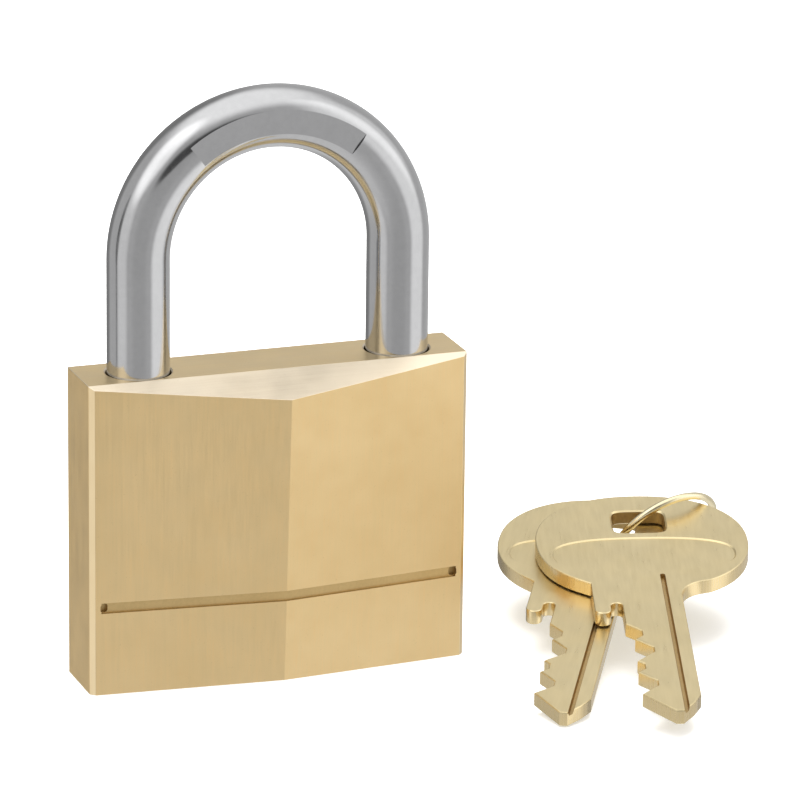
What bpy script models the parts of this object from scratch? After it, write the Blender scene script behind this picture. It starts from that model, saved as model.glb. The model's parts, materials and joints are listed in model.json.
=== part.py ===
"""Brass pin-tumbler padlock with a vee-fronted body, a plated shackle and two keys on a wire ring.

Frame: metres, +Z up, origin at the centre of the body's base face, front towards -Y.
The heel leg of the shackle, which stays in the body, is at -X and the free toe leg at +X.
The lock is drawn shut, with the key plug turned to its open position, so that both bolts
are drawn back out of the shackle's notches.  The keys lie beside the lock on the same surface.
"""

import math

import bmesh
import bpy
from mathutils import Matrix, Vector

MM = 0.001
WELD = 0.001 * MM
CUT_PAST = 1.0 * MM  # how far a cutter runs past the face that it opens

# Lock body
BODY_WIDTH = 40.0 * MM
BODY_HEIGHT = 32.4 * MM
SIDE_THICKNESS = 8.1 * MM
RIDGE_RISE_BASE = 1.6 * MM
RIDGE_RISE_TOP = 3.5 * MM
CORNER_CHAMFER = 0.5 * MM
TOP_BEVEL_START = 3.5 * MM
TOP_BEVEL_SLOPE = math.radians(28.8)
BODY_ROWS = 8

# Front groove
GROOVE_HEIGHT = 1.1 * MM
GROOVE_DEPTH = 0.3 * MM
GROOVE_LEVEL = 9.2 * MM
GROOVE_HALF_LENGTH = 18.9 * MM
GROOVE_PIT_LENGTH = 0.8 * MM
GROOVE_PIT_HEIGHT = 0.9 * MM
GROOVE_PIT_DEPTH = 0.7 * MM
GROOVE_PIT_OVERRUN = 0.1 * MM

# Shackle
LEG_RADIUS = 3.175 * MM
LEG_SPACING = 27.4 * MM
LEG_CLEARANCE = 0.15 * MM
ARCH_LEVEL = 43.96 * MM
TOE_TIP = 22.9 * MM
NOTCH_BOTTOM = 25.1 * MM
NOTCH_TOP = 30.1 * MM
NOTCH_RADIUS = 2.05 * MM
HEEL_LAND_BOTTOM = 21.3 * MM
HEEL_FOOT_TOP = 8.0 * MM
HEEL_FOOT_BOTTOM = 6.0 * MM
HEEL_FOOT_RADIUS = 3.0 * MM
HEEL_BORE_FLOOR = 2.0 * MM
TOE_POCKET_FLOOR = 22.6 * MM
LEG_END_CHAMFER = 0.5 * MM
ARCH_FLAT_DEPTH = 0.25 * MM  # a plain flat along the front of the arch
ARCH_FLAT_HALF_ANGLE = 38.0
ARCH_FLAT_REACH = 1.6 * MM

# Bolts that hold the shackle
BOLT_LEVEL = 27.6 * MM
BOLT_RADIUS = 2.3 * MM
BOLT_BORE_RADIUS = 2.5 * MM
BOLT_TIP = 10.2 * MM
BOLT_HEAD_INNER = 5.2 * MM
BOLT_TRAVEL = 1.3 * MM
TAIL_END = -2.2 * MM
TAIL_INNER = 0.15 * MM
TAIL_TOP = 27.5 * MM
TAIL_NOTCH_WIDTH = 1.0 * MM
TAIL_NOTCH_REACH = 1.45 * MM
BOLT_SPRING_LEVEL = 28.75 * MM
BORE_PLUG_CLEARANCE = 0.1 * MM
BORE_PLUG_INSET = 0.3 * MM

# Key plug and cam
PLUG_RADIUS = 4.5 * MM
PLUG_BORE_RADIUS = 4.6 * MM
PLUG_BOTTOM = 0.2 * MM
PLUG_TOP = 22.4 * MM
PLUG_CHAMFER = 0.2 * MM
PLUG_BORE_TOP = 26.0 * MM
PLUG_GROOVE_RADIUS = 3.9 * MM
PLUG_GROOVE_LEVEL = 18.1 * MM
PLUG_GROOVE_HEIGHT = 1.8 * MM
KEYWAY_WIDTH = 1.9 * MM
KEYWAY_LENGTH = 6.7 * MM
KEYWAY_TOP = 20.9 * MM
WARD_DEPTH = 0.3 * MM
WARD_WIDTH = 0.4 * MM
TONGUE_WIDTH = 1.8 * MM
TONGUE_LENGTH = 5.6 * MM
TONGUE_BOTTOM = 21.6 * MM
TONGUE_CLEARANCE = 0.2 * MM
TONGUE_FLOOR_GAP = 0.3 * MM
CAM_RADIUS = 4.3 * MM
CAM_BOTTOM = 22.7 * MM
CAM_TOP = 24.9 * MM
CAM_PIN_TOP = 26.9 * MM
CAM_PIN_RADIUS = 0.35 * MM
CAM_PIN_REACH = BOLT_TRAVEL / math.sqrt(2.0)

# Pin stacks, numbered from the key's side
CHAMBER_LEVELS = [4.5 * MM, 8.0 * MM, 11.5 * MM, 15.0 * MM]
CUT_DEPTHS = [1.5 * MM, 2.4 * MM, 1.2 * MM, 2.2 * MM]
CHAMBER_RADIUS = 1.35 * MM
PIN_RADIUS = 1.2 * MM
PIN_CHAMFER = 0.35 * MM
PLUG_CHAMBER_FLOOR = 0.2 * MM
KEY_PIN_OUTER = 4.35 * MM
KEY_PIN_GAP = 0.1 * MM
DRIVER_INNER = 4.75 * MM
DRIVER_LENGTH = 4.0 * MM
CHAMBER_PLUG_INNER = 16.2 * MM
CHAMBER_PLUG_RADIUS = 1.25 * MM
FLUSH_GAP = 0.05 * MM

# Cross pins
PLUG_PIN_RADIUS = 0.75 * MM
PLUG_PIN_X = PLUG_GROOVE_RADIUS + 0.15 * MM + PLUG_PIN_RADIUS
SHACKLE_PIN_RADIUS = 0.8 * MM
SHACKLE_PIN_X = -16.95 * MM
SHACKLE_PIN_LEVEL = 19.5 * MM
CROSS_PIN_CLEARANCE = 0.1 * MM
CROSS_PIN_FRONT = -2.3 * MM
CROSS_PIN_RECESS = 0.3 * MM
CROSS_PIN_END_GAP = 0.3 * MM

# Springs: wire radius, coil radius, turns
DRIVER_SPRING = (0.15 * MM, 0.9 * MM, 6)
BOLT_SPRING = (0.15 * MM, 0.75 * MM, 9)
SHACKLE_SPRING = (0.3 * MM, 2.4 * MM, 4)
SPRING_GAP = 0.2 * MM

# Keys, drawn with the tip at the origin, the blade along +Y and the cut edge at -X
KEY_THICKNESS = 1.6 * MM
BLADE_WIDTH = 6.3 * MM
SHOULDER = 20.6 * MM
CUT_FLAT = 0.5 * MM
TIP_SHIFT = 0.8 * MM
TIP_HALF_WIDTH = 0.4 * MM
TIP_SLOPE_END = 1.6 * MM
TIP_ROUND_END = 3.2 * MM
NECK_RADIUS = 3.2 * MM
NECK_START = 24.2 * MM
HOOK_REACH = 2.9 * MM
HOOK_RADIUS = 0.85 * MM
HOOK_TOP = 27.2 * MM
HOOK_NOTCH_TOP = 2.2 * MM
BOW_CENTRE = 36.4 * MM
BOW_HALF_WIDTH = 11.1 * MM
BOW_HALF_HEIGHT = 10.4 * MM
BOW_POWER = 2.2
HOLE_CENTRE = 40.8 * MM
HOLE_WIDTH = 5.6 * MM
HOLE_HEIGHT = 5.0 * MM
HOLE_POWER = 5.0
PANEL_CENTRE = 33.5 * MM
PANEL_HALF_WIDTH = 9.4 * MM
PANEL_HALF_HEIGHT = 3.6 * MM
PANEL_POWER = 2.6
PANEL_DEPTH = 0.12 * MM
WARD_GROOVE_CENTRE = 1.5 * MM
WARD_GROOVE_WIDTH = 0.6 * MM
WARD_GROOVE_DEPTH = 0.45 * MM
WARD_GROOVE_END = 29.0 * MM

# The keys lie on each other in one plane, whose bow end is tipped up by the ring standing below
STACK_ORIGIN = (25.0 * MM, -28.5 * MM, 0.1 * MM)
STACK_HEADING = math.radians(67.05)
STACK_TILT = math.radians(8.7)
STACK_GAP = 0.15 * MM
STACK_TOP = 2.0 * KEY_THICKNESS + STACK_GAP
FRONT_KEY_PLACE = (7.4 * MM, -2.1 * MM, KEY_THICKNESS + STACK_GAP)
FRONT_KEY_TURN = math.radians(5.7)
BACK_KEY_PLACE = (-4.2 * MM, 0.1 * MM, 0.0)
BACK_KEY_TURN = math.radians(-6.3)

# Key ring: a bent wire that passes through both holes, at RING_THREAD on the stack's top face,
# and back around the far edges of the bows
RING_RADIUS = 6.2 * MM
RING_WIRE = 0.4 * MM
RING_THREAD = (3.6 * MM, 39.4 * MM)
RING_HEADING = math.radians(35.0)
RING_CHORD = 8.4 * MM
RING_LEAN = math.radians(26.0)
RING_START = math.radians(-72.0)
RING_SWEEP = math.radians(350.0)


def clear_scene():
    """Take every object out of the scene."""
    for item in list(bpy.data.objects):
        bpy.data.objects.remove(item, do_unlink=True)


def metal(name, colour, roughness):
    """A metal with one colour and roughness."""
    material = bpy.data.materials.new(name)
    material.use_nodes = True
    shader = material.node_tree.nodes["Principled BSDF"]
    shader.inputs["Base Color"].default_value = (*colour, 1.0)
    shader.inputs["Metallic"].default_value = 1.0
    shader.inputs["Roughness"].default_value = roughness
    material.diffuse_color = (*colour, 1.0)
    return material


def add_object(name, bm, material, parent=None, sharp_degrees=30.0):
    """Turn a bmesh into a named object with one material, shaded smooth with sharp edges."""
    bmesh.ops.recalc_face_normals(bm, faces=bm.faces)
    mesh = bpy.data.meshes.new(name)
    bm.to_mesh(mesh)
    bm.free()
    mesh.shade_smooth()
    mesh.set_sharp_from_angle(angle=math.radians(sharp_degrees))
    mesh.materials.append(material)
    piece = bpy.data.objects.new(name, mesh)
    bpy.context.scene.collection.objects.link(piece)
    if parent is not None:
        piece.parent = parent
        piece.matrix_parent_inverse = parent.matrix_basis.inverted()
    return piece


def add_axis(name, location):
    """An empty that marks a joint's axis."""
    empty = bpy.data.objects.new(name, None)
    empty.location = location
    bpy.context.scene.collection.objects.link(empty)
    return empty


def add_cutter(name, bm):
    """A solid that is only used to cut or to join others."""
    bmesh.ops.recalc_face_normals(bm, faces=bm.faces)
    mesh = bpy.data.meshes.new(name)
    bm.to_mesh(mesh)
    bm.free()
    cutter = bpy.data.objects.new(name, mesh)
    cutter.display_type = "WIRE"
    cutter.hide_render = True
    bpy.context.scene.collection.objects.link(cutter)
    return cutter


def boolean(piece, cutter, operation="DIFFERENCE"):
    """Cut a piece with a cutter, or join the two."""
    modifier = piece.modifiers.new(cutter.name, "BOOLEAN")
    modifier.operation = operation
    modifier.solver = "EXACT"
    modifier.object = cutter


def turned(profile, segments, direction=(0.0, 0.0, 1.0), centre=(0.0, 0.0, 0.0)):
    """A turned solid: (radius, distance along the axis) points spun about the axis."""
    bm = bmesh.new()
    points = [(0.0, profile[0][1]), *profile, (0.0, profile[-1][1])]
    verts = [bm.verts.new((radius, 0.0, along)) for radius, along in points]
    edges = [bm.edges.new(pair) for pair in zip(verts, verts[1:])]
    bmesh.ops.spin(
        bm,
        geom=verts + edges,
        cent=(0.0, 0.0, 0.0),
        axis=(0.0, 0.0, 1.0),
        angle=math.tau,
        steps=segments,
        use_merge=True,
    )
    bmesh.ops.remove_doubles(bm, verts=bm.verts, dist=WELD)
    turn = Vector((0.0, 0.0, 1.0)).rotation_difference(Vector(direction)).to_matrix().to_4x4()
    bmesh.ops.transform(bm, matrix=Matrix.Translation(centre) @ turn, verts=bm.verts)
    return bm


def rod(radius, start, end, segments, direction=(0.0, 0.0, 1.0), centre=(0.0, 0.0, 0.0)):
    """A plain cylinder from start to end along its axis."""
    return turned([(radius, start), (radius, end)], segments, direction, centre)


def chamfered_rod(radius, start, end, chamfer, segments, direction, centre=(0.0, 0.0, 0.0)):
    """A cylinder with both ends chamfered."""
    profile = [
        (radius - chamfer, start),
        (radius, start + chamfer),
        (radius, end - chamfer),
        (radius - chamfer, end),
    ]
    return turned(profile, segments, direction, centre)


def box(low, high):
    """A rectangular block between two corners."""
    bm = bmesh.new()
    bmesh.ops.create_cube(bm, size=1.0)
    size = [b - a for a, b in zip(low, high)]
    middle = [(a + b) / 2.0 for a, b in zip(low, high)]
    bmesh.ops.transform(
        bm, matrix=Matrix.Translation(middle) @ Matrix.Diagonal((*size, 1.0)), verts=bm.verts
    )
    return bm


def extruded(outline, bottom, top):
    """A plate: a flat outline of (x, y) points drawn up from one level to another."""
    bm = bmesh.new()
    face = bm.faces.new([bm.verts.new((x, y, bottom)) for x, y in outline])
    grown = bmesh.ops.extrude_face_region(bm, geom=[face])
    moved = [item for item in grown["geom"] if isinstance(item, bmesh.types.BMVert)]
    bmesh.ops.translate(bm, vec=(0.0, 0.0, top - bottom), verts=moved)
    return bm


def swept(points, wire_radius, sides):
    """Round wire along a line of points, with flat ends."""
    bm = bmesh.new()
    points = [Vector(p) for p in points]
    across = None
    rings = []
    for index, point in enumerate(points):
        before = points[max(index - 1, 0)]
        after = points[min(index + 1, len(points) - 1)]
        along = (after - before).normalized()
        if across is None:
            across = along.orthogonal().normalized()
        across = (across - along * across.dot(along)).normalized()
        other = along.cross(across)
        ring = []
        for side in range(sides):
            angle = math.tau * side / sides
            offset = across * math.cos(angle) + other * math.sin(angle)
            ring.append(bm.verts.new(point + offset * wire_radius))
        rings.append(ring)
    for ring, following in zip(rings, rings[1:]):
        for side in range(sides):
            nxt = (side + 1) % sides
            bm.faces.new((ring[side], ring[nxt], following[nxt], following[side]))
    bm.faces.new(list(reversed(rings[0])))
    bm.faces.new(rings[-1])
    return bm


def coil(spring, start, end, origin, direction, points_per_turn=8, sides=5):
    """A compression spring between two distances along its axis."""
    wire_radius, coil_radius, turns = spring
    axis = Vector(direction)
    across = axis.orthogonal().normalized()
    other = axis.cross(across)
    count = turns * points_per_turn
    first = start + wire_radius
    last = end - wire_radius
    points = []
    for step in range(count + 1):
        angle = math.tau * step / points_per_turn
        along = first + (last - first) * step / count
        offset = across * math.cos(angle) + other * math.sin(angle)
        points.append(Vector(origin) + axis * along + offset * coil_radius)
    return swept(points, wire_radius, sides)


def ridge_rise(height):
    """How far the ridge stands out from the side's thickness at a height."""
    return RIDGE_RISE_BASE + (RIDGE_RISE_TOP - RIDGE_RISE_BASE) * height / BODY_HEIGHT


def half_thickness(x, height):
    """Distance from the middle plane to the front or back face."""
    return SIDE_THICKNESS / 2.0 + ridge_rise(height) * (1.0 - abs(x) / (BODY_WIDTH / 2.0))


def body_outline(height):
    """The body's plan at a height: two shallow vees back to back, with the corners chamfered."""
    side = BODY_WIDTH / 2.0
    shoulder = side - CORNER_CHAMFER
    flank = SIDE_THICKNESS / 2.0 - CORNER_CHAMFER
    edge = half_thickness(shoulder, height)
    ridge = half_thickness(0.0, height)
    quarter = [(0.0, -ridge), (shoulder, -edge), (side, -flank)]
    right = quarter + [(x, -y) for x, y in reversed(quarter)]
    left = [(-x, -y) for x, y in quarter[1:]] + [(-x, y) for x, y in reversed(quarter[1:])]
    return right + left


def body_blank():
    """The body before it is drilled: stacked outlines, then the sloping bevels along the top."""
    bm = bmesh.new()
    loops = []
    for row in range(BODY_ROWS + 1):
        height = BODY_HEIGHT * row / BODY_ROWS
        loops.append([bm.verts.new((x, y, height)) for x, y in body_outline(height)])
    for lower, upper in zip(loops, loops[1:]):
        for index in range(len(lower)):
            nxt = (index + 1) % len(lower)
            bm.faces.new((lower[index], lower[nxt], upper[nxt], upper[index]))
    bm.faces.new(list(reversed(loops[0])))
    bm.faces.new(loops[-1])
    for facing in (-1.0, 1.0):
        normal = (0.0, facing * math.sin(TOP_BEVEL_SLOPE), math.cos(TOP_BEVEL_SLOPE))
        cut = bmesh.ops.bisect_plane(
            bm,
            geom=bm.verts[:] + bm.edges[:] + bm.faces[:],
            plane_co=(0.0, facing * TOP_BEVEL_START, BODY_HEIGHT),
            plane_no=normal,
            clear_outer=True,
        )
        rim = [item for item in cut["geom_cut"] if isinstance(item, bmesh.types.BMEdge)]
        bmesh.ops.edgeloop_fill(bm, edges=rim)
    return bm


def front_groove():
    """The shallow groove across the front, following both faces of the vee."""
    middle = half_thickness(0.0, GROOVE_LEVEL)
    end = half_thickness(GROOVE_HALF_LENGTH, GROOVE_LEVEL)
    outline = [
        (-GROOVE_HALF_LENGTH, -end - CUT_PAST),
        (0.0, -middle - CUT_PAST),
        (GROOVE_HALF_LENGTH, -end - CUT_PAST),
        (GROOVE_HALF_LENGTH, -end + GROOVE_DEPTH),
        (0.0, -middle + GROOVE_DEPTH),
        (-GROOVE_HALF_LENGTH, -end + GROOVE_DEPTH),
    ]
    half = GROOVE_HEIGHT / 2.0
    return extruded(outline, GROOVE_LEVEL - half, GROOVE_LEVEL + half)


def groove_pit(side):
    """The deeper square pit at one end of the groove."""
    outer = side * (GROOVE_HALF_LENGTH + GROOVE_PIT_OVERRUN)
    inner = outer - side * GROOVE_PIT_LENGTH
    surface = -half_thickness(GROOVE_HALF_LENGTH, GROOVE_LEVEL)
    half = GROOVE_PIT_HEIGHT / 2.0
    low = (min(outer, inner), surface - CUT_PAST, GROOVE_LEVEL - half)
    high = (max(outer, inner), surface + GROOVE_PIT_DEPTH, GROOVE_LEVEL + half)
    return box(low, high)


def make_lock_body(brass):
    """The body, drilled for the shackle, the plug, the bolts, the pin stacks and the cross pins."""
    body = add_object("lock_body", body_blank(), brass, sharp_degrees=6.0)
    leg_x = LEG_SPACING / 2.0
    bore = LEG_RADIUS + LEG_CLEARANCE
    above = BODY_HEIGHT + CUT_PAST
    beside = BODY_WIDTH / 2.0 + CUT_PAST
    behind = half_thickness(0.0, BODY_HEIGHT) + CUT_PAST
    chamber_start = PLUG_RADIUS - CUT_PAST
    pin_hole_end = CROSS_PIN_FRONT - CROSS_PIN_END_GAP
    cuts = {
        "cut_heel_bore": rod(bore, HEEL_BORE_FLOOR, above, 32, centre=(-leg_x, 0.0, 0.0)),
        "cut_toe_pocket": rod(bore, TOE_POCKET_FLOOR, above, 32, centre=(leg_x, 0.0, 0.0)),
        "cut_plug_bore": rod(PLUG_BORE_RADIUS, -CUT_PAST, PLUG_BORE_TOP, 40),
        "cut_bolt_bore": rod(
            BOLT_BORE_RADIUS, -leg_x, beside, 32, (1.0, 0.0, 0.0), (0.0, 0.0, BOLT_LEVEL)
        ),
        "cut_plug_pin_hole": rod(
            PLUG_PIN_RADIUS + CROSS_PIN_CLEARANCE,
            pin_hole_end,
            behind,
            16,
            (0.0, 1.0, 0.0),
            (PLUG_PIN_X, 0.0, PLUG_GROOVE_LEVEL),
        ),
        "cut_shackle_pin_hole": rod(
            SHACKLE_PIN_RADIUS + CROSS_PIN_CLEARANCE,
            pin_hole_end,
            behind,
            16,
            (0.0, 1.0, 0.0),
            (SHACKLE_PIN_X, 0.0, SHACKLE_PIN_LEVEL),
        ),
        "cut_front_groove": front_groove(),
        "cut_groove_pit_left": groove_pit(-1.0),
        "cut_groove_pit_right": groove_pit(1.0),
    }
    for number, level in enumerate(CHAMBER_LEVELS, start=1):
        cuts[f"cut_chamber_{number}"] = rod(
            CHAMBER_RADIUS, chamber_start, beside, 20, (1.0, 0.0, 0.0), (0.0, 0.0, level)
        )
    for name, bm in cuts.items():
        boolean(body, add_cutter(name, bm))


def make_cross_pins(steel):
    """The plug's and the shackle's retaining pins, driven in from the back and dressed off."""
    places = {
        "plug_retaining_pin": (PLUG_PIN_RADIUS, PLUG_PIN_X, PLUG_GROOVE_LEVEL),
        "shackle_retaining_pin": (SHACKLE_PIN_RADIUS, SHACKLE_PIN_X, SHACKLE_PIN_LEVEL),
    }
    for name, (radius, x, level) in places.items():
        back = half_thickness(abs(x) + radius, level) - CROSS_PIN_RECESS
        bm = rod(radius, CROSS_PIN_FRONT, back, 16, (0.0, 1.0, 0.0), (x, 0.0, level))
        add_object(name, bm, steel)


def arch_flat():
    """The slab that leaves a shallow flat along the front of the arch."""
    leg_x = LEG_SPACING / 2.0
    first = 90.0 - ARCH_FLAT_HALF_ANGLE
    last = 90.0 + ARCH_FLAT_HALF_ANGLE
    outer = arc((0.0, 0.0), leg_x + ARCH_FLAT_REACH, first, last, 12)
    inner = arc((0.0, 0.0), leg_x - ARCH_FLAT_REACH, last, first, 12)
    bm = extruded(outer + inner, LEG_RADIUS - ARCH_FLAT_DEPTH, LEG_RADIUS + CUT_PAST)
    placing = Matrix.Translation((0.0, 0.0, ARCH_LEVEL)) @ Matrix.Rotation(math.pi / 2.0, 4, "X")
    bmesh.ops.transform(bm, matrix=placing, verts=bm.verts)
    return bm


def make_shackle(chrome, axis):
    """The bent rod: heel foot, neck, land and groove, the arch, and the toe with its notch."""
    leg_x = LEG_SPACING / 2.0
    heel = [
        (HEEL_FOOT_RADIUS - LEG_END_CHAMFER, HEEL_FOOT_BOTTOM),
        (HEEL_FOOT_RADIUS, HEEL_FOOT_BOTTOM + LEG_END_CHAMFER),
        (HEEL_FOOT_RADIUS, HEEL_FOOT_TOP),
        (NOTCH_RADIUS, HEEL_FOOT_TOP),
        (NOTCH_RADIUS, HEEL_LAND_BOTTOM),
        (LEG_RADIUS, HEEL_LAND_BOTTOM),
        (LEG_RADIUS, NOTCH_BOTTOM),
        (NOTCH_RADIUS, NOTCH_BOTTOM),
        (NOTCH_RADIUS, NOTCH_TOP),
        (LEG_RADIUS, NOTCH_TOP),
    ]
    arch_steps = 24
    stations = [(radius, Vector((-leg_x, 0.0, z)), 0.0) for radius, z in heel]
    for step in range(arch_steps + 1):
        turn = math.pi * step / arch_steps
        place = Vector((-leg_x * math.cos(turn), 0.0, ARCH_LEVEL + leg_x * math.sin(turn)))
        stations.append((LEG_RADIUS, place, turn))
    stations.append((LEG_RADIUS, Vector((leg_x, 0.0, TOE_TIP + LEG_END_CHAMFER)), math.pi))
    stations.append((LEG_RADIUS - LEG_END_CHAMFER, Vector((leg_x, 0.0, TOE_TIP)), math.pi))
    bm = bmesh.new()
    sides = 32
    rings = []
    for radius, place, turn in stations:
        outward = Vector((-math.cos(turn), 0.0, math.sin(turn)))
        ring = []
        for side in range(sides):
            angle = math.tau * side / sides
            offset = outward * math.cos(angle) + Vector((0.0, math.sin(angle), 0.0))
            ring.append(bm.verts.new(place + offset * radius))
        rings.append(ring)
    for ring, following in zip(rings, rings[1:]):
        for side in range(sides):
            nxt = (side + 1) % sides
            bm.faces.new((ring[side], ring[nxt], following[nxt], following[side]))
    bm.faces.new(list(reversed(rings[0])))
    bm.faces.new(rings[-1])
    shackle = add_object("shackle", bm, chrome, axis)
    floor_x = leg_x - NOTCH_RADIUS
    reach = LEG_RADIUS + CUT_PAST
    notch = box((floor_x - reach, -reach, NOTCH_BOTTOM), (floor_x, reach, NOTCH_TOP))
    boolean(shackle, add_cutter("cut_toe_notch", notch))
    boolean(shackle, add_cutter("cut_arch_flat", arch_flat()))


def make_shackle_spring(steel, axis):
    """The spring under the heel foot, which lifts the shackle when the bolts let go."""
    start = HEEL_BORE_FLOOR + SPRING_GAP
    end = HEEL_FOOT_BOTTOM - SPRING_GAP
    origin = (-LEG_SPACING / 2.0, 0.0, 0.0)
    bm = coil(SHACKLE_SPRING, start, end, origin, (0.0, 0.0, 1.0), 14, 6)
    add_object("shackle_spring", bm, steel, axis)


def make_bolt(name, side, steel):
    """One bolt: a round head, and a half tail beside the other bolt's with a notch for the cam.

    The toe bolt points to +X with its tail behind the middle; the heel bolt is that turned
    half a turn about Z.
    """
    profile = [
        (BOLT_RADIUS, TAIL_END),
        (BOLT_RADIUS, BOLT_TIP - PIN_CHAMFER),
        (BOLT_RADIUS - PIN_CHAMFER, BOLT_TIP),
    ]
    bolt = add_object(name, turned(profile, 32, (1.0, 0.0, 0.0)), steel)
    far = 2.0 * BOLT_RADIUS
    pin_x = -CAM_PIN_REACH * math.sqrt(0.5)
    cuts = {
        "inner": box((-far, -far, -far), (BOLT_HEAD_INNER, TAIL_INNER, far)),
        "upper": box((-far, -far, TAIL_TOP - BOLT_LEVEL), (BOLT_HEAD_INNER, far, far)),
        "notch": box(
            (pin_x - TAIL_NOTCH_WIDTH / 2.0, -far, -far),
            (pin_x + TAIL_NOTCH_WIDTH / 2.0, TAIL_NOTCH_REACH, far),
        ),
    }
    placing = Matrix.Translation((0.0, 0.0, BOLT_LEVEL))
    if side < 0.0:
        placing = placing @ Matrix.Rotation(math.pi, 4, "Z")
    bolt.matrix_world = placing
    for cut_name, bm in cuts.items():
        cutter = add_cutter(f"cut_{name}_{cut_name}", bm)
        cutter.matrix_world = placing
        boolean(bolt, cutter)


def make_bolt_spring(steel):
    """The spring that pushes the two bolts apart."""
    reach = BOLT_HEAD_INNER - SPRING_GAP
    origin = (0.0, 0.0, BOLT_SPRING_LEVEL)
    add_object("bolt_spring", coil(BOLT_SPRING, -reach, reach, origin, (1.0, 0.0, 0.0)), steel)


def make_bolt_bore_plug(brass):
    """The plug that closes the bolts' bore, flush with the side."""
    inner = LEG_SPACING / 2.0 + LEG_RADIUS + LEG_CLEARANCE + BORE_PLUG_INSET
    outer = BODY_WIDTH / 2.0 - FLUSH_GAP
    radius = BOLT_BORE_RADIUS - BORE_PLUG_CLEARANCE
    bm = rod(radius, inner, outer, 32, (1.0, 0.0, 0.0), (0.0, 0.0, BOLT_LEVEL))
    add_object("bolt_bore_plug", bm, brass)


def keyway_outline():
    """The keyway's section: a slot with one ward standing in from its side."""
    half_width = KEYWAY_WIDTH / 2.0
    half_length = KEYWAY_LENGTH / 2.0
    ward_low = -WARD_GROOVE_CENTRE - WARD_WIDTH / 2.0
    ward_high = -WARD_GROOVE_CENTRE + WARD_WIDTH / 2.0
    return [
        (-half_width, -half_length),
        (half_width, -half_length),
        (half_width, ward_low),
        (half_width - WARD_DEPTH, ward_low),
        (half_width - WARD_DEPTH, ward_high),
        (half_width, ward_high),
        (half_width, half_length),
        (-half_width, half_length),
    ]


def make_key_plug(brass, axis):
    """The plug that the key turns, drilled for the key pins and slotted for the cam."""
    half_groove = PLUG_GROOVE_HEIGHT / 2.0
    profile = [
        (PLUG_RADIUS - PLUG_CHAMFER, PLUG_BOTTOM),
        (PLUG_RADIUS, PLUG_BOTTOM + PLUG_CHAMFER),
        (PLUG_RADIUS, PLUG_GROOVE_LEVEL - half_groove),
        (PLUG_GROOVE_RADIUS, PLUG_GROOVE_LEVEL - half_groove),
        (PLUG_GROOVE_RADIUS, PLUG_GROOVE_LEVEL + half_groove),
        (PLUG_RADIUS, PLUG_GROOVE_LEVEL + half_groove),
        (PLUG_RADIUS, PLUG_TOP),
    ]
    plug = add_object("key_plug", turned(profile, 40), brass, axis)
    slot_half_width = TONGUE_WIDTH / 2.0 + TONGUE_CLEARANCE
    slot_half_length = TONGUE_LENGTH / 2.0 + TONGUE_CLEARANCE
    slot_floor = TONGUE_BOTTOM - TONGUE_FLOOR_GAP
    cuts = {
        "cut_keyway": extruded(keyway_outline(), -CUT_PAST, KEYWAY_TOP),
        "cut_cam_slot": box(
            (-slot_half_width, -slot_half_length, slot_floor),
            (slot_half_width, slot_half_length, PLUG_TOP + CUT_PAST),
        ),
    }
    for number, level in enumerate(CHAMBER_LEVELS, start=1):
        cuts[f"cut_plug_chamber_{number}"] = rod(
            CHAMBER_RADIUS,
            PLUG_CHAMBER_FLOOR,
            PLUG_RADIUS + CUT_PAST,
            20,
            (0.0, 1.0, 0.0),
            (0.0, 0.0, level),
        )
    for name, bm in cuts.items():
        boolean(plug, add_cutter(name, bm))


def make_cam(steel, axis):
    """The cam on top of the plug: a tongue below, and two pins above that draw the bolts."""
    cam = add_object("cam", rod(CAM_RADIUS, CAM_BOTTOM, CAM_TOP, 32), steel, axis)
    half_width = TONGUE_WIDTH / 2.0
    half_length = TONGUE_LENGTH / 2.0
    tongue = box(
        (-half_width, -half_length, TONGUE_BOTTOM),
        (half_width, half_length, CAM_BOTTOM + CUT_PAST),
    )
    boolean(cam, add_cutter("join_tongue", tongue), "UNION")
    for number, angle in enumerate((135.0, 315.0), start=1):
        turn = math.radians(angle)
        place = (CAM_PIN_REACH * math.cos(turn), CAM_PIN_REACH * math.sin(turn), 0.0)
        pin = rod(CAM_PIN_RADIUS, CAM_TOP - CUT_PAST, CAM_PIN_TOP, 12, centre=place)
        boolean(cam, add_cutter(f"join_cam_pin_{number}", pin), "UNION")


def make_pin_stacks(brass, steel, axis):
    """Key pins in the plug; driver pins, springs and closing plugs in the body."""
    sideways = (1.0, 0.0, 0.0)
    backwards = (0.0, 1.0, 0.0)
    driver_outer = DRIVER_INNER + DRIVER_LENGTH
    side_face = BODY_WIDTH / 2.0 - FLUSH_GAP
    for number, (level, depth) in enumerate(zip(CHAMBER_LEVELS, CUT_DEPTHS), start=1):
        centre = (0.0, 0.0, level)
        inner = BLADE_WIDTH / 2.0 - depth + KEY_PIN_GAP
        pin = chamfered_rod(PIN_RADIUS, inner, KEY_PIN_OUTER, PIN_CHAMFER, 16, backwards, centre)
        add_object(f"key_pin_{number}", pin, brass, axis)
        driver = chamfered_rod(
            PIN_RADIUS, DRIVER_INNER, driver_outer, PIN_CHAMFER, 16, sideways, centre
        )
        add_object(f"driver_pin_{number}", driver, steel)
        spring_start = driver_outer + SPRING_GAP
        spring_end = CHAMBER_PLUG_INNER - SPRING_GAP
        spring = coil(DRIVER_SPRING, spring_start, spring_end, centre, sideways)
        add_object(f"driver_spring_{number}", spring, steel)
        plug = rod(CHAMBER_PLUG_RADIUS, CHAMBER_PLUG_INNER, side_face, 20, sideways, centre)
        add_object(f"chamber_plug_{number}", plug, brass)


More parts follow.
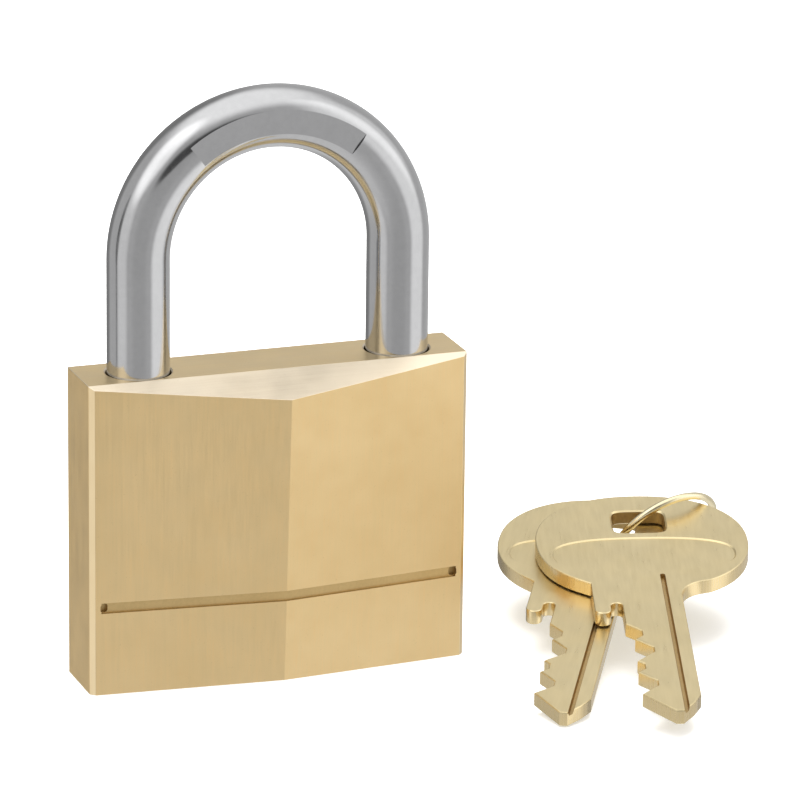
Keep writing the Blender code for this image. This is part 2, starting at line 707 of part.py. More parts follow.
def oval(half_width, half_height, centre, power, first, last, count):
    """Points of a squarish oval between two angles, both included."""
    points = []
    for step in range(count + 1):
        angle = math.radians(first + (last - first) * step / count)
        across = math.copysign(abs(math.cos(angle)) ** (2.0 / power), math.cos(angle))
        along = math.copysign(abs(math.sin(angle)) ** (2.0 / power), math.sin(angle))
        points.append((half_width * across, centre + half_height * along))
    return points


def arc(centre, radius, first, last, count):
    """Points of a circle's arc between two angles in degrees, both included."""
    points = []
    for step in range(count + 1):
        angle = math.radians(first + (last - first) * step / count)
        points.append((centre[0] + radius * math.cos(angle), centre[1] + radius * math.sin(angle)))
    return points


def bitting():
    """The cut edge of the blade, from the shoulder to the tip, as (x, y) points."""
    edge = -BLADE_WIDTH / 2.0
    cuts = [
        (SHOULDER - (level - PLUG_BOTTOM), depth)
        for level, depth in zip(CHAMBER_LEVELS, CUT_DEPTHS)
    ]
    first_along, first_depth = cuts[0]
    points = [(edge, first_along + CUT_FLAT + first_depth)]
    for index, (along, depth) in enumerate(cuts):
        points.append((edge + depth, along + CUT_FLAT))
        points.append((edge + depth, along - CUT_FLAT))
        if index + 1 < len(cuts):
            next_along, next_depth = cuts[index + 1]
            gap = (along - CUT_FLAT) - (next_along + CUT_FLAT)
            peak = (depth + next_depth - gap) / 2.0
            points.append((edge + peak, along - CUT_FLAT - (depth - peak)))
    last_along, last_depth = cuts[-1]
    rise = last_depth - MM / 2.0
    points.append((edge + last_depth - rise, last_along - CUT_FLAT - rise))
    return points


def key_outline():
    """The key's outline, from the tip up the plain edge, around the bow and down the cut edge."""
    edge = BLADE_WIDTH / 2.0
    tip = [
        (TIP_SHIFT - TIP_HALF_WIDTH, 0.0),
        (TIP_SHIFT + TIP_HALF_WIDTH, 0.0),
        (edge - TIP_SHIFT, TIP_SLOPE_END),
        (edge, TIP_ROUND_END),
    ]
    neck = arc((edge + NECK_RADIUS, NECK_START), NECK_RADIUS, 180.0, 106.0, 6)
    bow = oval(BOW_HALF_WIDTH, BOW_HALF_HEIGHT, BOW_CENTRE, BOW_POWER, -57.0, 232.0, 36)
    hook_x = -edge - HOOK_REACH
    hook = arc((hook_x + HOOK_RADIUS, SHOULDER + HOOK_RADIUS), HOOK_RADIUS, 180.0, 360.0, 6)
    notch_radius = HOOK_REACH / 2.0 - HOOK_RADIUS
    notch_level = SHOULDER + HOOK_NOTCH_TOP - notch_radius
    notch = arc((-edge - notch_radius, notch_level), notch_radius, 180.0, 0.0, 6)
    return tip + neck + bow + [(hook_x, HOOK_TOP)] + hook + notch + bitting()


def stack_plane():
    """The plane that both keys lie in: X across, Y from the tips to the bows."""
    return (
        Matrix.Translation(STACK_ORIGIN)
        @ Matrix.Rotation(STACK_HEADING - math.pi / 2.0, 4, "Z")
        @ Matrix.Rotation(STACK_TILT, 4, "X")
    )


def make_key_ring(nickel_brass):
    """The wire ring through both bows, leaning over them about its chord in their top face."""
    along = Vector((math.cos(RING_HEADING), math.sin(RING_HEADING), 0.0))
    upright = Matrix.Rotation(RING_LEAN, 3, along) @ Vector((0.0, 0.0, 1.0))
    sunk = math.sqrt(RING_RADIUS**2 - (RING_CHORD / 2.0) ** 2)
    centre = Vector((*RING_THREAD, STACK_TOP)) + along * RING_CHORD / 2.0 - upright * sunk
    steps = 44
    points = []
    for step in range(steps + 1):
        angle = RING_START + RING_SWEEP * step / steps
        offset = along * math.cos(angle) + upright * math.sin(angle)
        points.append(stack_plane() @ (centre + offset * RING_RADIUS))
    add_object("key_ring", swept(points, RING_WIRE, 8), nickel_brass)


def make_key(name, place, turn, nickel_brass):
    """A flat key with its cuts, ward groove, sunk panels and ring hole."""
    placing = stack_plane() @ Matrix.Translation(place) @ Matrix.Rotation(turn, 4, "Z")
    key = add_object(name, extruded(key_outline(), 0.0, KEY_THICKNESS), nickel_brass)
    above = KEY_THICKNESS + CUT_PAST
    below = -CUT_PAST
    half_width = HOLE_WIDTH / 2.0
    half_height = HOLE_HEIGHT / 2.0
    hole = oval(half_width, half_height, HOLE_CENTRE, HOLE_POWER, 0.0, 345.0, 23)
    panel = oval(
        PANEL_HALF_WIDTH, PANEL_HALF_HEIGHT, PANEL_CENTRE, PANEL_POWER, 0.0, 350.0, 35
    )
    groove_low = WARD_GROOVE_CENTRE - WARD_GROOVE_WIDTH / 2.0
    groove_high = WARD_GROOVE_CENTRE + WARD_GROOVE_WIDTH / 2.0
    cuts = {
        "hole": extruded(hole, below, above),
        "top_panel": extruded(panel, KEY_THICKNESS - PANEL_DEPTH, above),
        "bottom_panel": extruded(panel, below, PANEL_DEPTH),
        "ward_groove": box(
            (groove_low, -CUT_PAST, KEY_THICKNESS - WARD_GROOVE_DEPTH),
            (groove_high, WARD_GROOVE_END, above),
        ),
    }
    key.matrix_world = placing
    for cut_name, bm in cuts.items():
        cutter = add_cutter(f"cut_{name}_{cut_name}", bm)
        cutter.matrix_world = placing
        boolean(key, cutter)


def main():
    """Build every piece of the lock, then the keys."""
    clear_scene()
    brass = metal("brass", (0.76, 0.62, 0.36), 0.38)
    steel = metal("steel", (0.62, 0.62, 0.63), 0.35)
    chrome = metal("chrome", (0.78, 0.79, 0.80), 0.12)
    nickel_brass = metal("nickel_brass", (0.74, 0.68, 0.50), 0.30)

    shackle_axis = add_axis("axis_shackle", (-LEG_SPACING / 2.0, 0.0, 0.0))
    plug_axis = add_axis("axis_plug", (0.0, 0.0, 0.0))

    make_lock_body(brass)
    make_cross_pins(steel)
    make_shackle(chrome, shackle_axis)
    make_shackle_spring(steel, shackle_axis)
    make_bolt("toe_bolt", 1.0, steel)
    make_bolt("heel_bolt", -1.0, steel)
    make_bolt_spring(steel)
    make_bolt_bore_plug(brass)
    make_key_plug(brass, plug_axis)
    make_cam(steel, plug_axis)
    make_pin_stacks(brass, steel, plug_axis)
    make_key("front_key", FRONT_KEY_PLACE, FRONT_KEY_TURN, nickel_brass)
    make_key("back_key", BACK_KEY_PLACE, BACK_KEY_TURN, nickel_brass)
    make_key_ring(nickel_brass)


main()
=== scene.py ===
"""The finished look of the brass padlock and its two keys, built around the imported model."""

import json
import math

import bmesh
import bpy
from mathutils import Matrix, Vector


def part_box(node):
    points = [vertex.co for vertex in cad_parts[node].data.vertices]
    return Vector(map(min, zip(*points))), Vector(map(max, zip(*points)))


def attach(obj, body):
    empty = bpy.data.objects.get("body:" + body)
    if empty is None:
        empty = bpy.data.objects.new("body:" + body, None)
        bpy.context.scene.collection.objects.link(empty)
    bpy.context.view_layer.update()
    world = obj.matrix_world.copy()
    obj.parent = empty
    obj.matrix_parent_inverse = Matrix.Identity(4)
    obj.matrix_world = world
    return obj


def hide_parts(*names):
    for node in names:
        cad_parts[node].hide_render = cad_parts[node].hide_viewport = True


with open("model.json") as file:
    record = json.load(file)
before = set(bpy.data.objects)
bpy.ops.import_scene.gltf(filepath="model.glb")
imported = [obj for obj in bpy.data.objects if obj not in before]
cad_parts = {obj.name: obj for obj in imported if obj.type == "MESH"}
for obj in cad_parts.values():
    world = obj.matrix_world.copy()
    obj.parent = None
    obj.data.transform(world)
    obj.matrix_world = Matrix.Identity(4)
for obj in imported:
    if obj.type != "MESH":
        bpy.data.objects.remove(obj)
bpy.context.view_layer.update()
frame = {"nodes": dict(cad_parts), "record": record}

MM = 0.001
MICRON = 0.000001
WELD = 0.5 * MICRON
CUT_PAST = 1.0 * MM  # how far a cutter runs past the face that it opens
SHARP_DEGREES = 28.0  # edges that turn by more than this stay sharp
Z_AXIS = Vector((0.0, 0.0, 1.0))

# Lock body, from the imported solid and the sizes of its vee
BODY_LOW, BODY_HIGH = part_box("lock_body")
BODY_WIDTH = BODY_HIGH.x - BODY_LOW.x
BODY_HEIGHT = BODY_HIGH.z
SIDE_THICKNESS = 8.1 * MM
RIDGE_RISE_BASE = 1.6 * MM
RIDGE_RISE_TOP = 3.5 * MM
CORNER_CHAMFER = 0.5 * MM
TOP_BEVEL_START = 3.5 * MM
TOP_BEVEL_SLOPE = math.radians(28.8)
BODY_ROWS = 24
EDGE_ROUND = 0.14 * MM

GROOVE_HEIGHT = 1.1 * MM
GROOVE_DEPTH = 0.3 * MM
GROOVE_LEVEL = 9.2 * MM
GROOVE_HALF_LENGTH = 18.9 * MM
GROOVE_PIT_LENGTH = 0.8 * MM
GROOVE_PIT_HEIGHT = 0.9 * MM
GROOVE_PIT_DEPTH = 0.7 * MM
GROOVE_PIT_OVERRUN = 0.1 * MM
GROOVE_PIT_ROUND = 0.3 * MM

# Holes in the body
LEG_BORE_RADIUS = 3.325 * MM
HEEL_BORE_FLOOR = 2.0 * MM
TOE_POCKET_FLOOR = 22.6 * MM
PLUG_BORE_RADIUS = 4.6 * MM
PLUG_BORE_TOP = 26.0 * MM
BOLT_LEVEL = 27.6 * MM
BOLT_BORE_RADIUS = 2.5 * MM
CHAMBER_RADIUS = 1.35 * MM
CHAMBER_LEVELS = [4.5 * MM, 8.0 * MM, 11.5 * MM, 15.0 * MM]
CROSS_PIN_BORE_RADII = {"plug_retaining_pin": 0.85 * MM, "shackle_retaining_pin": 0.9 * MM}
CROSS_PIN_END_GAP = 0.3 * MM
HOLE_CHAMFER = 0.15 * MM
LEG_BORE_SIDES = 64
PLUG_BORE_SIDES = 96
CHAMBER_SIDES = 48
CROSS_PIN_BORE_SIDES = 32

# How faces are told apart for their metals: by where they are, and by how level they lie
WALL_NORMAL_Z = 0.3
LEVEL_NORMAL_Z = 0.96
TOP_REGION = 4.0 * MM
SUNK_LEAST = 0.06 * MM
BASE_SKIN = 0.05 * MM
SIDE_SKIN = 0.02 * MM
GROOVE_DEPTH_MARGIN = 0.1 * MM

# Shackle
LEG_RADIUS = 3.175 * MM
LEG_X = 13.7 * MM
ARCH_LEVEL = 43.96 * MM
TOE_TIP = 22.9 * MM
NOTCH_BOTTOM = 25.1 * MM
NOTCH_TOP = 30.1 * MM
NOTCH_RADIUS = 2.05 * MM
HEEL_LAND_BOTTOM = 21.3 * MM
HEEL_FOOT_TOP = 8.0 * MM
HEEL_FOOT_BOTTOM = 6.0 * MM
HEEL_FOOT_RADIUS = 3.0 * MM
HEEL_FOOT_CHAMFER = 0.1 * MM
LEG_END_CHAMFER = 0.5 * MM
NOTCH_CHAMFER = 0.15 * MM
ARCH_FLAT_DEPTH = 0.25 * MM
ARCH_FLAT_HALF_ANGLE = 38.0
ARCH_FLAT_REACH = 1.6 * MM
SHACKLE_SHARP_DEGREES = 12.0

# Keys, drawn with the tip at the origin, the blade along +Y and the cut edge at -X
KEY_THICKNESS = 1.6 * MM
BLADE_WIDTH = 6.3 * MM
SHOULDER = 20.6 * MM
PLUG_BOTTOM = 0.2 * MM
CUT_DEPTHS = [1.5 * MM, 2.4 * MM, 1.2 * MM, 2.2 * MM]
CUT_FLAT = 0.5 * MM
LAST_CUT_SETBACK = 0.5 * MM
TIP_SHIFT = 0.8 * MM
TIP_HALF_WIDTH = 0.4 * MM
TIP_SLOPE_END = 1.6 * MM
TIP_ROUND_END = 3.2 * MM
NECK_RADIUS = 3.2 * MM
NECK_START = 24.2 * MM
NECK_LAST_ANGLE = 106.0
HOOK_REACH = 2.9 * MM
HOOK_RADIUS = 0.85 * MM
HOOK_TOP = 27.2 * MM
HOOK_NOTCH_TOP = 2.2 * MM
BOW_CENTRE = 36.4 * MM
BOW_HALF_WIDTH = 11.1 * MM
BOW_HALF_HEIGHT = 10.4 * MM
BOW_POWER = 2.2
BOW_FIRST_ANGLE = -57.0
BOW_LAST_ANGLE = 232.0
HOLE_CENTRE = 40.8 * MM
HOLE_WIDTH = 5.6 * MM
HOLE_HEIGHT = 5.0 * MM
HOLE_POWER = 5.0
PANEL_CENTRE = 33.5 * MM
PANEL_HALF_WIDTH = 9.4 * MM
PANEL_HALF_HEIGHT = 3.6 * MM
PANEL_POWER = 2.6
PANEL_DEPTH = 0.12 * MM
PANEL_WALL_GROWTH = 0.45 * MM
PANEL_WALL_ABOVE = 0.2 * MM
WARD_GROOVE_CENTRE = 1.5 * MM
WARD_GROOVE_WIDTH = 0.6 * MM
WARD_GROOVE_DEPTH = 0.45 * MM
WARD_GROOVE_END = 29.0 * MM
WARD_GROOVE_FLOOR_GROWTH = -0.15 * MM
WARD_GROOVE_MOUTH_GROWTH = 0.25 * MM
KEY_EDGE_ROUND = 0.16 * MM

# The keys lie on each other in one plane, whose bow end is tipped up by the ring standing below
STACK_ORIGIN = (25.0 * MM, -28.5 * MM, 0.1 * MM)
STACK_HEADING = math.radians(67.05)
STACK_TILT = math.radians(8.7)
STACK_GAP = 0.15 * MM
STACK_TOP = 2.0 * KEY_THICKNESS + STACK_GAP
KEY_PLACES = {
    "front_key": ((7.4 * MM, -2.1 * MM, KEY_THICKNESS + STACK_GAP), math.radians(5.7)),
    "back_key": ((-4.2 * MM, 0.1 * MM, 0.0), math.radians(-6.3)),
}

# Key ring
RING_RADIUS = 6.2 * MM
RING_WIRE = 0.4 * MM
RING_THREAD = (3.6 * MM, 39.4 * MM)
RING_HEADING = math.radians(35.0)
RING_CHORD = 8.4 * MM
RING_LEAN = math.radians(26.0)
RING_START = math.radians(-72.0)
RING_SWEEP = math.radians(350.0)
RING_END_SIZE = 0.45

# Metals: how many marks there are for each metre, and how strong they are
STAIN_FINENESS = 130.0
BLOTCH_FINENESS = 420.0
SPECK_FINENESS = 5200.0
COARSE_SHARE = 0.22
STREAK_TINT = 0.45
STAIN_TINT = 0.55
SPECK_DARKNESS = 0.55

# Camera
CAMERA_AZIMUTH = math.radians(-18.79)
CAMERA_ELEVATION = math.radians(18.05)
CAMERA_ROLL = math.radians(0.30)
CAMERA_DISTANCE = 583.8 * MM
CAMERA_LENS = 259.5
CAMERA_SENSOR = 36.0
CAMERA_CLIP_START = 0.01
AIM_HEIGHT = 20.0 * MM
AIM_RIGHT = 13.39 * MM
AIM_UP = 7.70 * MM

# Floor and softbox
FLOOR_SIZE = 6.0
FLOOR_GREY = 0.86
FLOOR_ROUGHNESS = 0.9
FLOOR_GLOW = 0.35
SOFTBOX_PLACE = (0.1, 0.2, 0.8)
SOFTBOX_TARGET = (0.0, 0.0, 0.02)
SOFTBOX_SIZE = 0.7
SOFTBOX_POWER = 8.0

# What metals mirror: a grey room, whose cards are round until a stretch makes them tall or flat.
# Each card has its azimuth and elevation, inner and outer radius in degrees, change of light and stretch.
ROOM_GREY = 0.62
ROOM_LEAST = 0.02
ROUND = (1.0, 1.0, 1.0)
TALL = (1.0, 1.0, 0.35)
FLAT = (0.3, 0.3, 1.0)
ROOM_CARDS = {
    "ceiling": (0.0, 90.0, 22.0, 54.0, 0.75, ROUND),
    "floor": (0.0, -90.0, 20.0, 72.0, 0.26, ROUND),
    "high left": (-72.0, 42.0, 14.0, 32.0, 0.85, ROUND),
    "high right": (78.0, 26.0, 12.0, 32.0, 0.40, ROUND),
    "right": (58.0, 0.0, 16.0, 34.0, 0.56, TALL),
    "left": (-79.0, 0.0, 8.0, 26.0, 0.32, TALL),
    "left flag": (-102.0, 0.0, 4.0, 8.0, -0.45, TALL),
    "front flag": (-6.0, 18.0, 13.0, 21.0, -0.45, FLAT),
    "front dimmer": (-14.0, 0.0, 10.0, 34.0, -0.08, TALL),
    "back flag": (-170.0, -10.0, 10.0, 34.0, -0.34, TALL),
}


# --- shapes -----------------------------------------------------------------


def add_object(name, bm):
    """Turn a bmesh into a named object in the scene."""
    bmesh.ops.recalc_face_normals(bm, faces=bm.faces)
    mesh = bpy.data.meshes.new(name)
    bm.to_mesh(mesh)
    bm.free()
    piece = bpy.data.objects.new(name, mesh)
    bpy.context.scene.collection.objects.link(piece)
    return piece


def apply_modifiers(piece):
    """Replace the mesh with what its modifiers make of it."""
    graph = bpy.context.evaluated_depsgraph_get()
    made = bpy.data.meshes.new_from_object(piece.evaluated_get(graph))
    old = piece.data
    piece.modifiers.clear()
    piece.data = made
    bpy.data.meshes.remove(old)


def cut(piece, cutters):
    """Cut a piece with each of several solids, then throw the solids away."""
    tools = []
    for number, bm in enumerate(cutters):
        tool = add_object(f"tool_{number}", bm)
        tool.matrix_world = piece.matrix_world
        modifier = piece.modifiers.new(tool.name, "BOOLEAN")
        modifier.operation = "DIFFERENCE"
        modifier.solver = "EXACT"
        modifier.object = tool
        tools.append(tool)
    bpy.context.view_layer.update()
    apply_modifiers(piece)
    for tool in tools:
        bpy.data.objects.remove(tool, do_unlink=True)


def smooth(piece):
    """Smooth shading that keeps flat faces flat and sharp edges sharp."""
    piece.data.shade_smooth()
    piece.data.set_sharp_from_angle(angle=math.radians(SHARP_DEGREES))
    modifier = piece.modifiers.new("weighted_normals", "WEIGHTED_NORMAL")
    modifier.keep_sharp = True
    modifier.weight = 100


def round_edges(bm, width, segments, least_degrees, chosen=None):
    """Round off the edges that turn by more than an angle."""
    edges = [
        edge
        for edge in bm.edges
        if len(edge.link_faces) == 2
        and edge.calc_face_angle(0.0) > math.radians(least_degrees)
        and (chosen is None or chosen(edge))
    ]
    bmesh.ops.bevel(
        bm,
        geom=edges,
        offset=width,
        offset_type="OFFSET",
        segments=segments,
        profile=0.5,
        affect="EDGES",
        clamp_overlap=True,
    )


def turned(profile, segments, direction, centre):
    """A turned solid: (radius, distance along the axis) points spun about the axis."""
    bm = bmesh.new()
    points = [(0.0, profile[0][1]), *profile, (0.0, profile[-1][1])]
    verts = [bm.verts.new((radius, 0.0, along)) for radius, along in points]
    edges = [bm.edges.new(pair) for pair in zip(verts, verts[1:])]
    bmesh.ops.spin(
        bm,
        geom=verts + edges,
        cent=(0.0, 0.0, 0.0),
        axis=(0.0, 0.0, 1.0),
        angle=math.tau,
        steps=segments,
        use_merge=True,
    )
    bmesh.ops.remove_doubles(bm, verts=bm.verts, dist=WELD)
    turn = Z_AXIS.rotation_difference(Vector(direction)).to_matrix().to_4x4()
    bmesh.ops.transform(bm, matrix=Matrix.Translation(centre) @ turn, verts=bm.verts)
    return bm


def drill(radius, start, mouth, segments, direction, centre):
    """A cutter for a round hole whose mouth is lightly chamfered."""
    profile = [
        (radius, start),
        (radius, mouth - HOLE_CHAMFER),
        (radius + HOLE_CHAMFER, mouth),
        (radius + HOLE_CHAMFER + CUT_PAST, mouth + CUT_PAST),
    ]
    return turned(profile, segments, direction, centre)


def box(low, high):
    """A rectangular block between two corners."""
    bm = bmesh.new()
    bmesh.ops.create_cube(bm, size=1.0)
    size = [b - a for a, b in zip(low, high)]
    middle = [(a + b) / 2.0 for a, b in zip(low, high)]
    placing = Matrix.Translation(middle) @ Matrix.Diagonal((*size, 1.0))
    bmesh.ops.transform(bm, matrix=placing, verts=bm.verts)
    return bm


def extruded(outline, bottom, top):
    """A plate: a flat outline of (x, y) points drawn up from one level to another."""
    bm = bmesh.new()
    face = bm.faces.new([bm.verts.new((x, y, bottom)) for x, y in outline])
    grown = bmesh.ops.extrude_face_region(bm, geom=[face])
    moved = [item for item in grown["geom"] if isinstance(item, bmesh.types.BMVert)]
    bmesh.ops.translate(bm, vec=(0.0, 0.0, top - bottom), verts=moved)
    return bm


def bridged(rings):
    """A closed solid through rings of points, with flat ends."""
    bm = bmesh.new()
    loops = [[bm.verts.new(point) for point in ring] for ring in rings]
    for loop, following in zip(loops, loops[1:]):
        for index in range(len(loop)):
            nxt = (index + 1) % len(loop)
            bm.faces.new((loop[index], loop[nxt], following[nxt], following[index]))
    bm.faces.new(list(reversed(loops[0])))
    bm.faces.new(loops[-1])
    return bm


# --- materials --------------------------------------------------------------


class Nodes:
    """Short ways to add and join a material's nodes."""

    def __init__(self, name):
        self.material = bpy.data.materials.new(name)
        self.material.use_nodes = True
        self.tree = self.material.node_tree
        self.shader = self.tree.nodes["Principled BSDF"]
        self.place = self.add("ShaderNodeTexCoord").outputs["Object"]

    def add(self, kind, **settings):
        """A node with some of its settings changed."""
        node = self.tree.nodes.new(kind)
        for key, value in settings.items():
            setattr(node, key, value)
        return node

    def join(self, source, target):
        """A link from an output to an input."""
        self.tree.links.new(source, target)

    def noise(self, scale, detail, roughness, stretch=(1.0, 1.0, 1.0)):
        """Noise of a given fineness, stretched along the axes."""
        mapping = self.add("ShaderNodeMapping")
        mapping.inputs["Scale"].default_value = stretch
        self.join(self.place, mapping.inputs["Vector"])
        node = self.add("ShaderNodeTexNoise")
        node.inputs["Scale"].default_value = scale
        node.inputs["Detail"].default_value = detail
        node.inputs["Roughness"].default_value = roughness
        self.join(mapping.outputs["Vector"], node.inputs["Vector"])
        return node.outputs["Fac"]

    def spread(self, source, low, high, out_low=0.0, out_high=1.0):
        """A value's range moved to another range, held at its ends."""
        node = self.add("ShaderNodeMapRange")
        node.inputs["From Min"].default_value = low
        node.inputs["From Max"].default_value = high
        node.inputs["To Min"].default_value = out_low
        node.inputs["To Max"].default_value = out_high
        self.join(source, node.inputs["Value"])
        return node.outputs["Result"]

    def maths(self, operation, first, second):
        """Arithmetic on two values, each an output or a number."""
        node = self.add("ShaderNodeMath", operation=operation)
        for value, socket in zip((first, second), node.inputs):
            if isinstance(value, (int, float)):
                socket.default_value = value
            else:
                self.join(value, socket)
        return node.outputs["Value"]

    def blend(self, amount, first, second):
        """A colour between two colours."""
        node = self.add("ShaderNodeMix", data_type="RGBA")
        self.join(amount, node.inputs["Factor"])
        for value, name in ((first, "A"), (second, "B")):
            socket = next(s for s in node.inputs if s.name == name and s.type == "RGBA")
            if isinstance(value, tuple):
                socket.default_value = (*value, 1.0)
            else:
                self.join(value, socket)
        return next(s for s in node.outputs if s.type == "RGBA")

    def bump(self, height, distance, strength, under=None):
        """A bump on top of another bump."""
        node = self.add("ShaderNodeBump")
        node.inputs["Strength"].default_value = strength
        node.inputs["Distance"].default_value = distance
        self.join(height, node.inputs["Height"])
        if under is not None:
            self.join(under, node.inputs["Normal"])
        return node.outputs["Normal"]


def metal(name, light, dark, roughness, streak, fineness, depth, specks=0.12):
    """A metal with fine and coarse streaks, soft stains and small specks.

    streak scales the noise along each axis, where a small number draws it out into streaks.
    fineness is how many of them there are for each metre, and depth is how deep they look.
    """
    nodes = Nodes(name)
    streaks = nodes.noise(fineness, detail=3.0, roughness=0.6, stretch=streak)
    coarse = nodes.noise(fineness * COARSE_SHARE, detail=2.0, roughness=0.5, stretch=streak)
    stains = nodes.noise(STAIN_FINENESS, detail=3.0, roughness=0.55)
    blotches = nodes.noise(BLOTCH_FINENESS, detail=2.0, roughness=0.5)
    specking = nodes.spread(nodes.noise(SPECK_FINENESS, detail=1.0, roughness=0.4), 0.70, 0.78)

    streak_tint = nodes.maths("MULTIPLY", nodes.spread(streaks, 0.35, 0.65), STREAK_TINT)
    stain_tint = nodes.maths("MULTIPLY", nodes.spread(stains, 0.3, 0.7), STAIN_TINT)
    colour = nodes.blend(nodes.maths("ADD", streak_tint, stain_tint), dark, light)
    deep = tuple(SPECK_DARKNESS * channel for channel in dark)
    speck_amount = nodes.maths("MULTIPLY", specking, specks)
    colour = nodes.blend(speck_amount, colour, deep)
    nodes.join(colour, nodes.shader.inputs["Base Color"])

    rough = nodes.spread(streaks, 0.3, 0.7, roughness * 0.85, roughness * 1.15)
    rough = nodes.maths("ADD", rough, nodes.spread(blotches, 0.35, 0.7, -0.03, 0.035))
    nodes.join(rough, nodes.shader.inputs["Roughness"])

    normal = nodes.bump(streaks, depth, strength=0.6)
    normal = nodes.bump(coarse, depth * 2.0, strength=0.35, under=normal)
    nodes.join(normal, nodes.shader.inputs["Normal"])
    nodes.shader.inputs["Metallic"].default_value = 1.0
    return nodes.material


def make_materials():
    """Every metal of the lock, named for its use; the edge and bevel metals are paler copies of the brass
    that paint highlights, and the groove and recess metals are darker copies that paint shade.
    """
    upright = (1.0, 1.0, 0.02)
    endways = (0.02, 1.0, 1.0)
    plain = (1.0, 1.0, 1.0)
    along_blade = (1.0, 0.08, 1.0)
    across_edge = (1.0, 1.0, 0.04)
    return {
        "face": metal(
            "brass_face", light=(0.925, 0.715, 0.395), dark=(0.85, 0.64, 0.33),
            roughness=0.56, streak=upright, fineness=5200.0, depth=6.0 * MICRON,
        ),
        # paler brass on the vertical corner chamfers: a painted highlight
        "edge": metal(
            "brass_edge_painted_highlight", light=(0.95, 0.77, 0.48), dark=(0.88, 0.69, 0.41),
            roughness=0.34, streak=upright, fineness=5200.0, depth=3.0 * MICRON,
        ),
        "top": metal(
            "brass_top", light=(0.92, 0.735, 0.43), dark=(0.84, 0.65, 0.355),
            roughness=0.38, streak=endways, fineness=5200.0, depth=4.0 * MICRON,
        ),
        # paler brass on the sloping top bevels: a painted highlight
        "bevel": metal(
            "brass_bevel_painted_highlight", light=(1.0, 0.88, 0.69), dark=(0.94, 0.81, 0.61),
            roughness=0.36, streak=endways, fineness=5200.0, depth=4.0 * MICRON,
        ),
        # darker brass inside the front groove: painted shade
        "groove": metal(
            "brass_groove_painted_shade", light=(0.78, 0.57, 0.27), dark=(0.66, 0.47, 0.21),
            roughness=0.46, streak=plain, fineness=3000.0, depth=6.0 * MICRON,
        ),
        # darker brass on sunk faces, in bores, pits, hole walls and the key's groove: painted shade
        "recess": metal(
            "brass_recess_painted_shade", light=(0.62, 0.45, 0.21), dark=(0.48, 0.34, 0.15),
            roughness=0.46, streak=plain, fineness=3000.0, depth=6.0 * MICRON,
        ),
        "turned_brass": metal(
            "brass_turned", light=(0.88, 0.67, 0.34), dark=(0.76, 0.57, 0.27),
            roughness=0.33, streak=plain, fineness=4200.0, depth=4.0 * MICRON,
        ),
        "chrome": metal(
            "shackle_plating", light=(0.545, 0.545, 0.55), dark=(0.50, 0.50, 0.505),
            roughness=0.12, streak=plain, fineness=1500.0, depth=1.2 * MICRON, specks=0.05,
        ),
        "steel": metal(
            "turned_steel", light=(0.58, 0.57, 0.56), dark=(0.47, 0.46, 0.45),
            roughness=0.34, streak=plain, fineness=4000.0, depth=4.0 * MICRON,
        ),
        "spring": metal(
            "spring_wire", light=(0.50, 0.50, 0.52), dark=(0.38, 0.38, 0.40),
            roughness=0.28, streak=plain, fineness=3000.0, depth=3.0 * MICRON,
        ),
        "key": metal(
            "key_metal", light=(0.86, 0.725, 0.435), dark=(0.80, 0.66, 0.37),
            roughness=0.34, streak=along_blade, fineness=3600.0, depth=3.0 * MICRON, specks=0.05,
        ),
        "key_cut": metal(
            "key_cut_metal", light=(0.90, 0.74, 0.44), dark=(0.80, 0.63, 0.34),
            roughness=0.28, streak=across_edge, fineness=7000.0, depth=5.0 * MICRON,
        ),
        "ring": metal(
            "ring_wire", light=(0.93, 0.83, 0.58), dark=(0.85, 0.74, 0.48),
            roughness=0.18, streak=plain, fineness=2500.0, depth=2.0 * MICRON,
        ),
    }


# --- lock body --------------------------------------------------------------


def ridge_rise(height):
    """How far the ridge stands out from the side's thickness at a height."""
    return RIDGE_RISE_BASE + (RIDGE_RISE_TOP - RIDGE_RISE_BASE) * height / BODY_HEIGHT


def half_thickness(x, height):
    """Distance from the middle plane to the front or back face."""
    return SIDE_THICKNESS / 2.0 + ridge_rise(height) * (1.0 - abs(x) / (BODY_WIDTH / 2.0))


def body_outline(height):
    """The body's plan at a height: two shallow vees back to back, with the corners chamfered."""
    side = BODY_WIDTH / 2.0
    shoulder = side - CORNER_CHAMFER
    flank = SIDE_THICKNESS / 2.0 - CORNER_CHAMFER
    edge = half_thickness(shoulder, height)
    ridge = half_thickness(0.0, height)
    quarter = [(0.0, -ridge), (shoulder, -edge), (side, -flank)]
    right = quarter + [(x, -y) for x, y in reversed(quarter)]
    left = [(-x, -y) for x, y in quarter[1:]] + [(-x, y) for x, y in reversed(quarter[1:])]
    return right + left


def body_blank():
    """The body before it is drilled, with its edges lightly rounded."""
    rings = []
    for row in range(BODY_ROWS + 1):
        height = BODY_HEIGHT * row / BODY_ROWS
        rings.append([(x, y, height) for x, y in body_outline(height)])
    bm = bridged(rings)
    for facing in (-1.0, 1.0):
        sliced = bmesh.ops.bisect_plane(
            bm,
            geom=bm.verts[:] + bm.edges[:] + bm.faces[:],
            plane_co=(0.0, facing * TOP_BEVEL_START, BODY_HEIGHT),
            plane_no=(0.0, facing * math.sin(TOP_BEVEL_SLOPE), math.cos(TOP_BEVEL_SLOPE)),
            clear_outer=True,
        )
        rim = [item for item in sliced["geom_cut"] if isinstance(item, bmesh.types.BMEdge)]
        bmesh.ops.edgeloop_fill(bm, edges=rim)
    bmesh.ops.recalc_face_normals(bm, faces=bm.faces)
    round_edges(bm, EDGE_ROUND, segments=2, least_degrees=5.0)
    bmesh.ops.remove_doubles(bm, verts=bm.verts, dist=WELD)
    return bm


